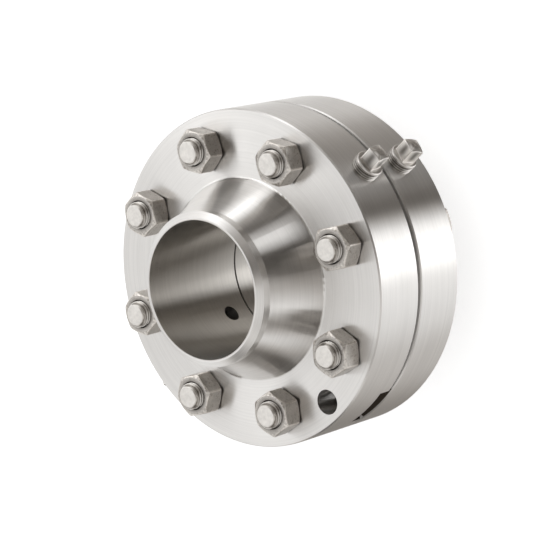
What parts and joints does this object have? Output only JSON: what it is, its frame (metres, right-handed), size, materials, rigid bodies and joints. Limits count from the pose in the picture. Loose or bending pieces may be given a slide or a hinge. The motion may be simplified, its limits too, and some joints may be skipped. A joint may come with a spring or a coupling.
{
  "type": "orifice flange",
  "caption": "Weld-neck orifice flange union: paired flanges bolted face to face on a ring gasket, with plugged pressure taps in their rims and slots for a jack screw.",
  "frame": {"origin": "centre of the lower weld end, the face that the union stands on", "axes": "+Z along the pipe axis from the lower flange to the upper one, X through the pressure taps, -Y through the upper flange's jack-screw hole"},
  "size_m": [0.2915, 0.252, 0.1882],
  "materials": {
    "flange_steel": "turned and finely brushed stainless steel",
    "bolting_steel": "satin stainless steel, as forged on the nuts' sides",
    "plug_steel": "bright satin stainless steel",
    "gasket_sheet": "dark grey compressed fibre sheet"
  },
  "bodies": {
    "root": {"upper_flange": "flange_steel", "lower_flange": "flange_steel", "ring_gasket": "gasket_sheet", "stud_1": "bolting_steel", "stud_2": "bolting_steel", "stud_3": "bolting_steel", "stud_4": "bolting_steel", "stud_5": "bolting_steel", "stud_6": "bolting_steel", "stud_7": "bolting_steel", "stud_8": "bolting_steel", "upper_nut_1": "bolting_steel", "upper_nut_2": "bolting_steel", "upper_nut_3": "bolting_steel", "upper_nut_4": "bolting_steel", "upper_nut_5": "bolting_steel", "upper_nut_6": "bolting_steel", "upper_nut_7": "bolting_steel", "upper_nut_8": "bolting_steel", "lower_nut_1": "bolting_steel", "lower_nut_2": "bolting_steel", "lower_nut_3": "bolting_steel", "lower_nut_4": "bolting_steel", "lower_nut_5": "bolting_steel", "lower_nut_6": "bolting_steel", "lower_nut_7": "bolting_steel", "lower_nut_8": "bolting_steel", "upper_tap_plug_1": "plug_steel", "upper_tap_plug_2": "plug_steel", "lower_tap_plug_1": "plug_steel", "lower_tap_plug_2": "plug_steel"}
  },
  "joints": []
}
